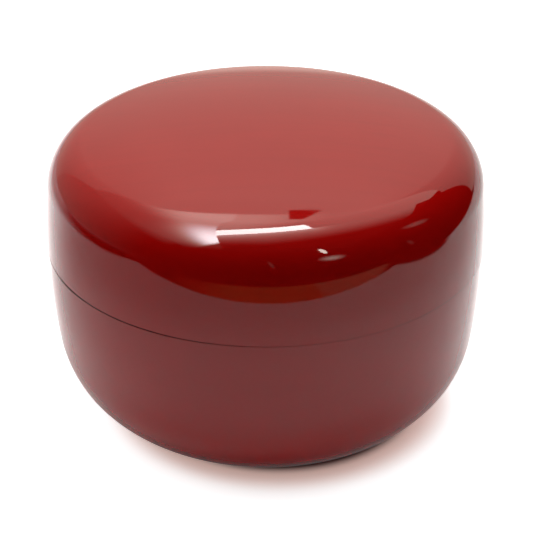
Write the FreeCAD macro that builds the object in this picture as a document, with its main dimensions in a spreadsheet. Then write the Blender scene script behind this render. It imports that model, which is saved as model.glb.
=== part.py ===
import FreeCAD, Part
import Sketcher
import math
import os

# A flat lacquered tea caddy: a turned wooden body and a turned wooden lid, each coated
# red outside and black inside. Z is the axis of the turning and the foot ring stands on
# Z = 0. Sizes are in millimetres.

os.makedirs("parts", exist_ok=True)
doc = FreeCAD.newDocument("TeaCaddy")

# Driving sizes. Walls, thicknesses and radii are finished ones, over the lacquer.
driving_sizes = [
    ("seam_diameter", "82.0", "across the lid's lower edge, the widest place"),
    ("body_height", "34.4", "from the table to the seam"),
    ("lid_height", "23.6", "from the seam to the crown of the lid"),
    ("dome_radius", "160.0", "curve of the lid's top"),
    ("shoulder_radius", "8.5", "curve between the lid's top and side"),
    ("lid_side_radius", "110.0", "slight barrel curve of the lid's side"),
    ("lid_overhang", "0.2", "how far the lid's edge stands outside the body"),
    ("body_side_radius", "130.0", "slight barrel curve of the body's side"),
    ("belly_radius", "20.0", "curve from the side in to the foot"),
    ("edge_round", "0.2", "rounding of the edges that meet at the seam"),
    ("foot_diameter", "52.0", "outside of the foot ring"),
    ("foot_ring_width", "3.0", "width of the ring that stands on the table"),
    ("foot_reveal", "0.3", "how far the ring stands below the lacquered belly"),
    ("foot_round", "0.15", "rounding of the foot ring's edges"),
    ("base_recess", "0.8", "depth of the hollow inside the foot ring"),
    ("outer_coat", "0.4", "ground and red lacquer on the outside"),
    ("inner_coat", "0.3", "ground and black lacquer on the inside"),
    ("lid_wall", "3.4", "wall of the lid at its mouth"),
    ("lid_top", "3.5", "thickness of the lid's top"),
    ("lid_corner_radius", "5.0", "curve inside the lid, from side to top"),
    ("lip_height", "7.0", "how far the body's lip stands above the seam"),
    ("lip_wall", "1.9", "wall of the lip"),
    ("lip_round", "0.6", "rounding of the lip's top edges"),
    ("lip_clearance", "0.2", "gap all round between the lip and the lid's mouth"),
    ("floor_height", "5.0", "from the table to the floor inside"),
    ("inner_belly_radius", "15.0", "curve inside the body, from wall to floor"),
]


class Size:
    """A length, known both as a number and as a formula on the sheet."""

    def __init__(self, number, formula):
        self.number = number
        self.formula = formula

    def __add__(self, other):
        return Size(self.number + other.number, f"({self.formula} + {other.formula})")

    def __sub__(self, other):
        return Size(self.number - other.number, f"({self.formula} - {other.formula})")

    def half(self):
        return Size(self.number / 2, f"{self.formula} / 2")


sheet = doc.addObject("Spreadsheet::Sheet", "Sizes")
size = {}
for row, (name, number, meaning) in enumerate(driving_sizes, start=1):
    sheet.set(f"A{row}", meaning)
    sheet.set(f"B{row}", number)
    sheet.setAlias(f"B{row}", name)
    size[name] = Size(float(number), f"Sizes.{name}")
doc.recompute()

# Sizes that pieces share. The lid rests on the body at the seam, and its mouth slips over
# the body's lip with the lip clearance all round.
zero = Size(0.0, "0")
outer_coat = size["outer_coat"]
inner_coat = size["inner_coat"]
edge_round = size["edge_round"]
seam = size["body_height"]
seam_radius = size["seam_diameter"].half()
mouth_radius = seam_radius - size["lid_wall"]
lip_radius = mouth_radius - size["lip_clearance"]
bore_radius = lip_radius - size["lip_wall"]

# Lid.
crown = seam + size["lid_height"]
dome_radius = size["dome_radius"]
shoulder_radius = size["shoulder_radius"]
lid_side_radius = size["lid_side_radius"]
lid_side_offset = seam_radius - lid_side_radius
ceiling = crown - size["lid_top"]
ceiling_radius = dome_radius - size["lid_top"]
lid_corner_radius = size["lid_corner_radius"]

# Body.
lip_round = size["lip_round"]
lip_top = seam + size["lip_height"]
lip_round_height = lip_top - lip_round
body_side_radius = size["body_side_radius"]
body_side_offset = seam_radius - size["lid_overhang"] - body_side_radius
belly_radius = size["belly_radius"]
foot_radius = size["foot_diameter"].half()
foot_reveal = size["foot_reveal"]
foot_round = size["foot_round"]
ring_inside = foot_radius - size["foot_ring_width"]
base_recess = size["base_recess"]
floor_height = size["floor_height"]
inner_belly_radius = size["inner_belly_radius"]
inner_belly_offset = bore_radius - inner_belly_radius
inner_belly_height = floor_height + inner_belly_radius


def spot(x, y):
    return FreeCAD.Vector(x, y, 0)


def at(radius, height):
    """A point of a section, by its distance from the axis and its height."""
    return spot(radius.number, height.number)


def crossing(centre, reach, other_centre, other_reach, side):
    """Where two circles cross, on the left (1) or right (-1) of the way between them."""
    way = other_centre.sub(centre)
    along = (way.Length**2 + reach.number**2 - other_reach.number**2) / (2 * way.Length)
    across = side * math.sqrt(reach.number**2 - along**2)
    way.normalize()
    return spot(
        centre.x + way.x * along - way.y * across,
        centre.y + way.y * along + way.x * across,
    )


def beyond(centre, through, reach):
    """The point of a circle on the ray from its centre through another point."""
    ray = through.sub(centre).normalize()
    return spot(centre.x + ray.x * reach.number, centre.y + ray.y * reach.number)


def outermost(centre, reach, height):
    """The outward point of a circle at a height."""
    rise = height.number - centre.y
    return spot(centre.x + math.sqrt(reach.number**2 - rise**2), height.number)


def lowest(centre, reach, radius):
    """The lower point of a circle at a distance from the axis."""
    run = radius.number - centre.x
    return spot(radius.number, centre.y - math.sqrt(reach.number**2 - run**2))


# Centres of the lid's curves. The dome's is on the axis and the side's is level with the
# seam. The shoulder touches both. Inside, the corner touches the wall and the ceiling.
dome_centre = at(zero, crown - dome_radius)
lid_side_centre = at(lid_side_offset, seam)
shoulder_centre = crossing(
    dome_centre,
    dome_radius - shoulder_radius,
    lid_side_centre,
    lid_side_radius - shoulder_radius,
    side=-1,
)
lid_corner_offset = mouth_radius - lid_corner_radius
lid_corner_reach = ceiling_radius - lid_corner_radius
lid_corner_rise = math.sqrt(lid_corner_reach.number**2 - lid_corner_offset.number**2)
lid_corner_centre = spot(lid_corner_offset.number, dome_centre.y + lid_corner_rise)

# Centres of the body's curves. The side's is level with the seam. The belly touches the side
# and comes down to the heel, where its lacquer meets the foot ring. Inside, the corner
# touches the bore and the floor.
body_side_centre = at(body_side_offset, seam)
heel = at(foot_radius, foot_reveal)
belly_centre = crossing(
    body_side_centre,
    body_side_radius - belly_radius,
    heel,
    belly_radius,
    side=1,
)
inner_belly_centre = at(inner_belly_offset, inner_belly_height)


class Section:
    """Half of a turned piece's section, drawn as a walk round it from a start point."""

    def __init__(self, label, start):
        self.body = doc.addObject("PartDesign::Body", label)
        self.body.Label = label
        self.body.Placement = FreeCAD.Placement()
        self.sketch = self.body.newObject("Sketcher::SketchObject", label + "_section")
        origin = self.body.Origin.OriginFeatures
        plane = next(feature for feature in origin if feature.Role == "XZ_Plane")
        self.sketch.AttachmentSupport = [(plane, "")]
        self.sketch.MapMode = "FlatFace"
        self.here = start
        self.ends = []

    def tie(self, kind, *values):
        return self.sketch.addConstraint(Sketcher.Constraint(kind, *values))

    def fix(self, kind, places, number, length):
        index = self.tie(kind, *places, number)
        self.sketch.setExpression(f"Constraints[{index}]", length.formula)

    def add(self, stretch, end, points, smooth):
        """Adds a stretch of the walk, which leaves the last one smoothly or at a corner."""
        index = self.sketch.addGeometry(stretch, False)
        if self.ends:
            joint = "Tangent" if smooth else "Coincident"
            self.tie(joint, index - 1, self.ends[-1][1], index, points[0])
        self.ends.append(points)
        self.here = end
        return index

    def level(self, end, smooth=False):
        """A level line."""
        index = self.add(Part.LineSegment(self.here, end), end, (1, 2), smooth)
        self.tie("Horizontal", index)
        return index

    def upright(self, end, smooth=False):
        """A line parallel to the axis."""
        index = self.add(Part.LineSegment(self.here, end), end, (1, 2), smooth)
        self.tie("Vertical", index)
        return index

    def arc(self, centre, end, radius=None, smooth=True):
        """A round stretch, the shorter way about its centre."""
        start_angle = math.atan2(self.here.y - centre.y, self.here.x - centre.x)
        end_angle = math.atan2(end.y - centre.y, end.x - centre.x)
        reach = self.here.sub(centre).Length
        circle = Part.Circle(centre, FreeCAD.Vector(0, 0, 1), reach)
        if (end_angle - start_angle) % (2 * math.pi) < math.pi:
            curve = Part.ArcOfCircle(circle, start_angle, end_angle)
            index = self.add(curve, end, (1, 2), smooth)
        else:
            curve = Part.ArcOfCircle(circle, end_angle, start_angle)
            index = self.add(curve, end, (2, 1), smooth)
        if radius:
            self.fix("Radius", (index,), reach, radius)
        return index

    def place(self, index, point, radius=None, height=None):
        """Fixes a point's distance from the axis, its height, or both."""
        spot_there = self.sketch.getPoint(index, point)
        if radius is zero:
            self.tie("PointOnObject", index, point, -2)
        elif radius:
            self.fix("DistanceX", (-1, 1, index, point), spot_there.x, radius)
        if height:
            self.fix("DistanceY", (-1, 1, index, point), spot_there.y, height)

    def start_at(self, radius=None, height=None):
        self.place(0, self.ends[0][0], radius, height)

    def end_at(self, index, radius=None, height=None):
        self.place(index, self.ends[index][1], radius, height)

    def centre_at(self, index, radius=None, height=None):
        self.place(index, 3, radius, height)

    def same_centre(self, index, other):
        self.tie("Coincident", index, 3, other, 3)

    def turned(self):
        """Closes the walk and turns the section once round the axis."""
        last = len(self.ends) - 1
        self.tie("Coincident", last, self.ends[last][1], 0, self.ends[0][0])
        turning = self.body.newObject("PartDesign::Revolution", self.body.Label + "_turning")
        turning.Profile = self.sketch
        turning.ReferenceAxis = (self.sketch, ["V_Axis"])
        turning.Angle = 360.0
        self.body.Tip = turning
        return self


def walk_lid_top(section, coat):
    """Dome and shoulder of the lid, from the axis outwards, a depth of coat below its face."""
    dome_reach = dome_radius - coat
    side_reach = lid_side_radius - coat
    dome = section.arc(dome_centre, beyond(dome_centre, shoulder_centre, dome_reach), dome_reach)
    shoulder = section.arc(
        shoulder_centre,
        beyond(lid_side_centre, shoulder_centre, side_reach),
        shoulder_radius - coat,
    )
    section.start_at(zero, crown - coat)
    section.centre_at(dome, zero)
    return dome, shoulder


def make_lid_outer_lacquer():
    """Red coat over the lid, round its edge and under its rim as far as the black coat."""
    section = Section("lid_outer_lacquer", at(zero, crown))
    edge_centre = outermost(lid_side_centre, lid_side_radius - edge_round, seam + edge_round)
    black_back = mouth_radius + inner_coat
    core_rim = seam + outer_coat
    core_dome = dome_radius - outer_coat
    core_side = lid_side_radius - outer_coat

    dome, shoulder = walk_lid_top(section, zero)
    edge_start = beyond(lid_side_centre, edge_centre, lid_side_radius)
    side = section.arc(lid_side_centre, edge_start, lid_side_radius)
    section.arc(edge_centre, spot(edge_centre.x, seam.number), edge_round)
    rim = section.level(at(black_back, seam), smooth=True)
    step = section.upright(at(black_back, core_rim))
    section.level(outermost(lid_side_centre, core_side, core_rim))
    core_shoulder_start = beyond(lid_side_centre, shoulder_centre, core_side)
    back_side = section.arc(lid_side_centre, core_shoulder_start, smooth=False)
    back_shoulder = section.arc(shoulder_centre, beyond(dome_centre, shoulder_centre, core_dome))
    back_dome = section.arc(dome_centre, at(zero, crown - outer_coat), core_dome)
    section.upright(at(zero, crown))

    section.centre_at(side, lid_side_offset, seam)
    section.end_at(rim, black_back, seam)
    section.end_at(step, height=core_rim)
    section.same_centre(back_side, side)
    section.same_centre(back_shoulder, shoulder)
    section.same_centre(back_dome, dome)
    return section.turned()


def make_lid_core():
    """Turned wood of the lid, between its coats."""
    section = Section("lid_core", at(zero, crown - outer_coat))
    black_back = mouth_radius + inner_coat
    core_rim = seam + outer_coat
    core_side = lid_side_radius - outer_coat
    core_ceiling = ceiling_radius + inner_coat

    dome, _ = walk_lid_top(section, outer_coat)
    side = section.arc(
        lid_side_centre, outermost(lid_side_centre, core_side, core_rim), core_side
    )
    rim = section.level(at(black_back, core_rim))
    section.upright(spot(black_back.number, lid_corner_centre.y))
    section.arc(
        lid_corner_centre,
        beyond(dome_centre, lid_corner_centre, core_ceiling),
        lid_corner_radius + inner_coat,
    )
    top = section.arc(dome_centre, at(zero, ceiling + inner_coat), core_ceiling)
    section.upright(at(zero, crown - outer_coat))

    section.centre_at(side, lid_side_offset, seam)
    section.end_at(rim, black_back, core_rim)
    section.same_centre(top, dome)
    return section.turned()


def make_lid_inner_lacquer():
    """Black coat inside the lid, from the ceiling down the wall to the rim."""
    section = Section("lid_inner_lacquer", at(zero, ceiling + inner_coat))
    back_radius = mouth_radius + inner_coat
    back_ceiling = ceiling_radius + inner_coat

    back_top = section.arc(
        dome_centre, beyond(dome_centre, lid_corner_centre, back_ceiling), back_ceiling
    )
    back_corner = section.arc(
        lid_corner_centre,
        spot(back_radius.number, lid_corner_centre.y),
        lid_corner_radius + inner_coat,
    )
    back_wall = section.upright(at(back_radius, seam), smooth=True)
    section.level(at(mouth_radius + edge_round, seam))
    edge_centre = at(mouth_radius + edge_round, seam + edge_round)
    section.arc(edge_centre, at(mouth_radius, seam + edge_round), edge_round)
    wall = section.upright(spot(mouth_radius.number, lid_corner_centre.y), smooth=True)
    corner = section.arc(
        lid_corner_centre, beyond(dome_centre, lid_corner_centre, ceiling_radius)
    )
    top = section.arc(dome_centre, at(zero, ceiling))
    section.upright(at(zero, ceiling + inner_coat))

    section.start_at(zero, ceiling + inner_coat)
    section.centre_at(back_top, zero)
    section.end_at(back_wall, back_radius, seam)
    section.end_at(wall, mouth_radius)
    section.same_centre(corner, back_corner)
    section.same_centre(top, back_top)
    return section.turned()


def make_body_outer_lacquer():
    """Red coat of the body, from the foot ring up to the shoulder that the lid rests on."""
    section = Section("body_outer_lacquer", heel)
    edge_centre = outermost(body_side_centre, body_side_radius - edge_round, seam - edge_round)
    core_shoulder = seam - outer_coat
    core_side = body_side_radius - outer_coat
    core_belly = belly_radius - outer_coat

    belly_top = beyond(body_side_centre, belly_centre, body_side_radius)
    belly = section.arc(belly_centre, belly_top, belly_radius)
    edge_start = beyond(body_side_centre, edge_centre, body_side_radius)
    side = section.arc(body_side_centre, edge_start, body_side_radius)
    section.arc(edge_centre, spot(edge_centre.x, seam.number), edge_round)
    shoulder = section.level(at(lip_radius, seam), smooth=True)
    step = section.upright(at(lip_radius, core_shoulder))
    section.level(outermost(body_side_centre, core_side, core_shoulder))
    core_belly_top = beyond(body_side_centre, belly_centre, core_side)
    back_side = section.arc(body_side_centre, core_belly_top, core_side, smooth=False)
    back_belly = section.arc(belly_centre, lowest(belly_centre, core_belly, foot_radius))
    section.upright(heel)

    section.start_at(foot_radius, foot_reveal)
    section.centre_at(side, body_side_offset, seam)
    section.end_at(shoulder, lip_radius, seam)
    section.end_at(step, height=core_shoulder)
    section.same_centre(back_side, side)
    section.same_centre(back_belly, belly)
    return section.turned()


def walk_lip(section, coat, inward):
    """Rounded top of the lip, a depth of coat below its face, inward or back outward."""
    reach = lip_round - coat
    top_height = lip_top - coat
    outer_centre = at(lip_radius - lip_round, lip_round_height)
    inner_centre = at(bore_radius + lip_round, lip_round_height)
    outer_foot = at(lip_radius - coat, lip_round_height)
    inner_foot = at(bore_radius + coat, lip_round_height)
    first_centre, last_centre = (outer_centre, inner_centre)
    last_foot = inner_foot
    if not inward:
        first_centre, last_centre = (inner_centre, outer_centre)
        last_foot = outer_foot
    section.arc(first_centre, spot(first_centre.x, top_height.number), reach)
    top = section.level(spot(last_centre.x, top_height.number), smooth=True)
    section.arc(last_centre, last_foot, reach)
    section.end_at(top, height=top_height)


def make_body_inner_lacquer():
    """Black coat of the body, from the foot of the lip over its top and down to the floor."""
    section = Section("body_inner_lacquer", at(lip_radius, seam - outer_coat))
    back_radius = bore_radius + inner_coat
    back_floor = floor_height - inner_coat
    back_lip = lip_radius - inner_coat

    section.upright(at(lip_radius, lip_round_height))
    walk_lip(section, zero, inward=True)
    bore = section.upright(at(bore_radius, inner_belly_height), smooth=True)
    corner = section.arc(
        inner_belly_centre, at(inner_belly_offset, floor_height), inner_belly_radius
    )
    floor = section.level(at(zero, floor_height), smooth=True)
    axis = section.upright(at(zero, back_floor))
    section.level(at(inner_belly_offset, back_floor))
    back_corner = section.arc(inner_belly_centre, at(back_radius, inner_belly_height))
    section.upright(at(back_radius, lip_round_height), smooth=True)
    walk_lip(section, inner_coat, inward=False)
    lip_back = section.upright(at(back_lip, seam - outer_coat), smooth=True)
    section.level(at(lip_radius, seam - outer_coat))

    section.start_at(lip_radius, seam - outer_coat)
    section.end_at(bore, bore_radius)
    section.end_at(floor, zero, floor_height)
    section.end_at(axis, height=back_floor)
    section.same_centre(back_corner, corner)
    section.end_at(lip_back, back_lip)
    return section.turned()


def make_body_core():
    """Turned wood of the body, with its foot ring and its standing lip."""
    core_recess = base_recess + outer_coat
    section = Section("body_core", at(zero, core_recess))
    core_shoulder = seam - outer_coat
    core_side = body_side_radius - outer_coat
    core_belly = belly_radius - outer_coat
    core_bore = bore_radius + inner_coat
    core_floor = floor_height - inner_coat
    core_lip = lip_radius - inner_coat

    recess = section.level(at(ring_inside, core_recess))
    section.upright(at(ring_inside, foot_round))
    section.arc(
        at(ring_inside + foot_round, foot_round), at(ring_inside + foot_round, zero), foot_round
    )
    ring_face = section.level(at(foot_radius - foot_round, zero), smooth=True)
    section.arc(
        at(foot_radius - foot_round, foot_round), at(foot_radius, foot_round), foot_round
    )
    core_heel = lowest(belly_centre, core_belly, foot_radius)
    ring_side = section.upright(core_heel, smooth=True)
    core_belly_top = beyond(body_side_centre, belly_centre, core_side)
    belly = section.arc(belly_centre, core_belly_top, core_belly, smooth=False)
    core_edge = outermost(body_side_centre, core_side, core_shoulder)
    side = section.arc(body_side_centre, core_edge, core_side)
    shoulder = section.level(at(core_lip, core_shoulder))
    section.upright(at(core_lip, lip_round_height))
    walk_lip(section, inner_coat, inward=True)
    bore = section.upright(at(core_bore, inner_belly_height), smooth=True)
    section.arc(
        inner_belly_centre, at(inner_belly_offset, core_floor), inner_belly_radius + inner_coat
    )
    floor = section.level(at(zero, core_floor), smooth=True)
    section.upright(at(zero, core_recess))

    section.start_at(zero, core_recess)
    section.end_at(recess, ring_inside)
    section.end_at(ring_face, height=zero)
    section.end_at(ring_side, foot_radius)
    section.centre_at(side, body_side_offset, seam)
    section.end_at(shoulder, core_lip, core_shoulder)
    section.end_at(bore, core_bore)
    section.end_at(floor, height=core_floor)

    # The belly's curve runs through the heel once its lacquer is on.
    mark = section.sketch.addGeometry(Part.Point(heel), True)
    section.place(mark, 1, foot_radius, foot_reveal)
    section.fix("Distance", (belly, 3, mark, 1), belly_radius.number, belly_radius)
    return section.turned()


def make_body_base_lacquer():
    """Red coat of the shallow recess inside the foot ring."""
    section = Section("body_base_lacquer", at(zero, base_recess))
    face = section.level(at(ring_inside, base_recess))
    section.upright(at(ring_inside, base_recess + outer_coat))
    back = section.level(at(zero, base_recess + outer_coat))
    section.upright(at(zero, base_recess))

    section.start_at(zero, base_recess)
    section.end_at(face, ring_inside)
    section.end_at(back, height=base_recess + outer_coat)
    return section.turned()


pieces = [
    make_body_core(),
    make_body_outer_lacquer(),
    make_body_inner_lacquer(),
    make_body_base_lacquer(),
    make_lid_core(),
    make_lid_outer_lacquer(),
    make_lid_inner_lacquer(),
]
doc.recompute()

for thing in doc.Objects:
    if "Invalid" in thing.State or "Error" in thing.State:
        raise RuntimeError(f"{thing.Label} failed: {thing.State}")

for piece in pieces:
    shape = piece.body.Shape
    label = piece.body.Label
    if not piece.sketch.FullyConstrained:
        raise RuntimeError(f"{label}: its section isn't fully sized")
    if shape.isNull() or not shape.isValid() or len(shape.Solids) != 1:
        raise RuntimeError(f"{label}: it isn't one sound solid")
    shape.exportStep(f"parts/{label}.step")
    box = shape.optimalBoundingBox(False)
    print(f"{label}: {shape.Volume:.1f} mm3, {box.XLength:.2f} wide, z {box.ZMin:.2f} to {box.ZMax:.2f}")
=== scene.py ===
import math

import bmesh
import bpy
from mathutils import Matrix, Vector


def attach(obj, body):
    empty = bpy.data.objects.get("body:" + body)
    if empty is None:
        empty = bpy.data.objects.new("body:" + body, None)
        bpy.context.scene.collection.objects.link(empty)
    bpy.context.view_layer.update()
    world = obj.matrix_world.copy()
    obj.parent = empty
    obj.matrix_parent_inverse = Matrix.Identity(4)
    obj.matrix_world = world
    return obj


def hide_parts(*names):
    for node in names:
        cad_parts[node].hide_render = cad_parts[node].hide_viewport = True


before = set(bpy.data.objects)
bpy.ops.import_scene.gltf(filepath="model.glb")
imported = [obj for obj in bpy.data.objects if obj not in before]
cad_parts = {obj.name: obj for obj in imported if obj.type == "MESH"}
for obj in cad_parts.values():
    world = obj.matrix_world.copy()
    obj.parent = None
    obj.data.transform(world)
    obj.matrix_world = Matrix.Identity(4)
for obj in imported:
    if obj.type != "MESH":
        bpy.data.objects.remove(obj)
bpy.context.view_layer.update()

mm = 0.001
weld = 0.002  # points nearer than this become one, in millimetres
crispAngle = 32  # an edge that turns more than this stays crisp, in degrees
hold = 0.03  # a very short step beside an edge, which keeps the shading true, in millimetres
longHold = 0.05  # the same on the lid's inner wall and at the foot of the body's
refraction = 1.5  # index of refraction of the lacquer and the wood

# sizes of the caddy in millimetres, the same as the CAD model's
caddy = {
    "crown": 58.0,
    "seam": 34.4,
    "seamRadius": 41.0,
    "overhang": 0.2,
    "edgeRound": 0.2,
    "domeRadius": 160.0,
    "shoulderRadius": 8.5,
    "lidSideRadius": 110.0,
    "bodySideRadius": 130.0,
    "bellyRadius": 20.0,
    "footRadius": 26.0,
    "footReveal": 0.3,
    "ringWidth": 3.0,
    "recess": 0.8,
    "mouthRadius": 37.6,
    "ceiling": 54.5,
    "lidCorner": 5.0,
    "lipRadius": 37.4,
    "boreRadius": 35.5,
    "lipTop": 41.4,
    "lipRound": 0.6,
    "floor": 5.0,
    "innerBelly": 15.0,
    "redCoat": 0.4,
    "blackCoat": 0.3,
}


def deselectAll():
    if bpy.context.mode != "OBJECT":
        bpy.ops.object.mode_set(mode="OBJECT")
    bpy.ops.object.select_all(action="DESELECT")


def startOutline(name, x, z):
    # a small plane melted down to one point, which the pen then pulls along
    deselectAll()
    bpy.ops.mesh.primitive_plane_add(size=mm, location=(x * mm, 0, z * mm))
    obj = bpy.context.object
    obj.name = obj.data.name = name
    bpy.ops.object.transform_apply(location=True, rotation=True, scale=True)
    bpy.ops.object.mode_set(mode="EDIT")
    bpy.ops.mesh.select_all(action="SELECT")
    bpy.ops.mesh.merge(type="CENTER")
    return obj


def penPoint():
    mesh = bmesh.from_edit_mesh(bpy.context.object.data)
    point = next(v.co for v in mesh.verts if v.select)
    return point.x / mm, point.z / mm


def swing(centre, degrees, steps):
    # an arc about a centre in the XZ plane, clockwise seen from the front
    bpy.ops.mesh.spin(
        steps=steps, angle=math.radians(degrees),
        center=(centre[0] * mm, 0, centre[1] * mm), axis=(0, -1, 0),
    )


def swingTo(centre, point, steps, ends=0.0):
    # ends is the length of a very short first and last step
    x, z = penPoint()
    start = math.atan2(z - centre[1], x - centre[0])
    end = math.atan2(point[1] - centre[1], point[0] - centre[0])
    turn = math.degrees((start - end + math.pi) % math.tau - math.pi)
    short = math.copysign(math.degrees(ends / math.hypot(x - centre[0], z - centre[1])), turn)
    if ends:
        swing(centre, short, 1)
    swing(centre, turn - 2 * short if ends else turn, steps)
    if ends:
        swing(centre, short, 1)


def runTo(x, z, steps=1):
    hereX, hereZ = penPoint()
    for _ in range(steps):
        bpy.ops.mesh.extrude_region_move(
            TRANSFORM_OT_translate={"value": ((x - hereX) * mm / steps, 0, (z - hereZ) * mm / steps)}
        )


def turnOutline(segments=256):
    # the outline goes once round the axis, and its seam and poles are closed
    bpy.ops.mesh.select_all(action="SELECT")
    bpy.ops.mesh.spin(steps=segments, angle=math.tau, center=(0, 0, 0), axis=(0, 0, 1))
    bpy.ops.mesh.select_all(action="SELECT")
    bpy.ops.mesh.remove_doubles(threshold=weld * mm)
    bpy.ops.mesh.normals_make_consistent(inside=False)
    bpy.ops.object.mode_set(mode="OBJECT")
    bpy.ops.object.shade_smooth_by_angle(angle=math.radians(crispAngle))


def crossing(a, reachA, b, reachB, side):
    # where two circles meet; side picks one of the two places
    gapX, gapZ = b[0] - a[0], b[1] - a[1]
    gap = math.hypot(gapX, gapZ)
    along = (gap * gap + reachA * reachA - reachB * reachB) / (2 * gap)
    off = math.sqrt(reachA * reachA - along * along) * side
    return (
        a[0] + (along * gapX - off * gapZ) / gap,
        a[1] + (along * gapZ + off * gapX) / gap,
    )


def beyond(a, b, reach):
    # the point that lies at a distance from a, towards b
    gap = math.hypot(b[0] - a[0], b[1] - a[1])
    return a[0] + (b[0] - a[0]) * reach / gap, a[1] + (b[1] - a[1]) * reach / gap


def outermost(centre, reach, z):
    return centre[0] + math.sqrt(reach * reach - (z - centre[1]) ** 2), z


domeCentre = (0.0, caddy["crown"] - caddy["domeRadius"])
lidSideCentre = (caddy["seamRadius"] - caddy["lidSideRadius"], caddy["seam"])
shoulderCentre = crossing(
    domeCentre, caddy["domeRadius"] - caddy["shoulderRadius"],
    lidSideCentre, caddy["lidSideRadius"] - caddy["shoulderRadius"], -1,
)
bodySideCentre = (
    caddy["seamRadius"] - caddy["overhang"] - caddy["bodySideRadius"], caddy["seam"]
)
heel = (caddy["footRadius"], caddy["footReveal"])
bellyCentre = crossing(
    bodySideCentre, caddy["bodySideRadius"] - caddy["bellyRadius"], heel, caddy["bellyRadius"], 1,
)
ceilingRadius = caddy["ceiling"] - domeCentre[1]
lidCornerX = caddy["mouthRadius"] - caddy["lidCorner"]
lidCornerCentre = (
    lidCornerX,
    domeCentre[1] + math.sqrt((ceilingRadius - caddy["lidCorner"]) ** 2 - lidCornerX ** 2),
)


class Wire:  # one output of a node, which sums can be written with
    def __init__(self, shader, socket):
        self.shader = shader
        self.socket = socket

    def sum(self, operation, a, b=0.0):
        return self.shader.node("ShaderNodeMath", {"operation": operation}, {0: a, 1: b})

    def __add__(self, other):
        return self.sum("ADD", self, other)

    def __radd__(self, other):
        return self.sum("ADD", other, self)

    def __sub__(self, other):
        return self.sum("SUBTRACT", self, other)

    def __rsub__(self, other):
        return self.sum("SUBTRACT", other, self)

    def __mul__(self, other):
        return self.sum("MULTIPLY", self, other)

    def __rmul__(self, other):
        return self.sum("MULTIPLY", other, self)

    def __truediv__(self, other):
        return self.sum("DIVIDE", self, other)

    def __pow__(self, other):
        return self.sum("POWER", self, other)

    def __rpow__(self, other):
        return self.sum("POWER", other, self)

    def __rtruediv__(self, other):
        return self.sum("DIVIDE", other, self)

    def larger(self, other):
        return self.sum("MAXIMUM", self, other)


class Shader:  # the nodes of one material or of the world
    def __init__(self, owner):
        owner.use_nodes = True
        self.tree = owner.node_tree
        self.tree.nodes.clear()

    def node(self, kind, settings=None, values=None, output=0):
        made = self.tree.nodes.new(kind)
        for name, setting in (settings or {}).items():
            setattr(made, name, setting)
        for name, value in (values or {}).items():
            if isinstance(value, Wire):
                self.tree.links.new(value.socket, made.inputs[name])
            elif value is not None:
                made.inputs[name].default_value = value
        return Wire(self, made.outputs[output]) if made.outputs else None

    def fade(self, value, start, end, low=0.0, high=1.0):
        # a smooth step from low to high as the value goes from start to end
        return self.node(
            "ShaderNodeMapRange", {"interpolation_type": "SMOOTHSTEP"},
            {"Value": value, "From Min": start, "From Max": end, "To Min": low, "To Max": high},
        )

    def noise(self, place, scale, detail=2.0, roughness=0.5, distortion=0.0):
        return self.node(
            "ShaderNodeTexNoise", None,
            {"Vector": place, "Scale": scale, "Detail": detail, "Roughness": roughness,
             "Distortion": distortion},
        )

    def specks(self, place, scale, reach, where):
        # small round specks, one in each cell, only where the last value says
        cell = self.node(
            "ShaderNodeTexVoronoi", {"feature": "F1"},
            {"Vector": place, "Scale": scale, "Randomness": 1.0},
        )
        return self.fade(cell, reach, 0.0) * where

    def principled(self, base, roughness, height):
        # height is the fine relief, in metres
        bump = self.node("ShaderNodeBump", None, {"Strength": 1.0, "Distance": 1.0, "Height": height})
        return self.node(
            "ShaderNodeBsdfPrincipled", None,
            {"Base Color": base, "Roughness": roughness, "IOR": refraction, "Normal": bump},
        )

    def stretched(self, place, scale):
        return self.node("ShaderNodeMapping", None, {"Vector": place, "Scale": scale})

    def mix(self, factor, a, b):
        # between two colours
        return self.node("ShaderNodeMix", {"data_type": "RGBA"}, {0: factor, 6: a, 7: b}, output=2)

    def away(self, x, y, start, end):
        # how far a place lies to the right of a line, seen along it from start to end
        long = math.hypot(end[0] - start[0], end[1] - start[1])
        runX, runY = (end[0] - start[0]) / long, (end[1] - start[1]) / long
        return (x - start[0]) * runY - (y - start[1]) * runX

    def beside(self, x, y, start, end, soft):
        # one to the left of the line, nought to the right of it
        return self.fade(self.away(x, y, start, end), soft, -soft)

    def patch(self, x, y, corners, soft):
        # one inside the corners, which go round anticlockwise
        inside = 1.0
        for i, corner in enumerate(corners):
            inside = self.beside(x, y, corner, corners[(i + 1) % len(corners)], soft) * inside
        return inside

    def axes(self, place):
        return [
            self.node("ShaderNodeSeparateXYZ", None, {0: place}, output=i) for i in range(3)
        ]


def colour(red, green, blue):
    return (red, green, blue, 1.0)


def dress(obj, material):
    obj.data.materials.clear()
    obj.data.materials.append(material)


# the lid's red coat, from the middle of the dome out, round the rim and back along the wood;
# the rim's outer edge stands off the body by a hair, most at the left, where it is tilted;
# pickIn, pickBelow and pickAbove are the margins of the part that tilts
lidCoat = {
    "domeSteps": 36,
    "shoulderSteps": 72,
    "sideSteps": 26,
    "edgeSteps": 6,
    "backSteps": (12, 20, 8),
    "segments": 400,
    "gap": 0.03,
    "gapReach": 39.4,
    "edge": 0.12,
    "tilt": 0.22,
    "pickIn": 0.1,
    "pickBelow": 0.01,
    "pickAbove": 0.04,
}


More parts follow.
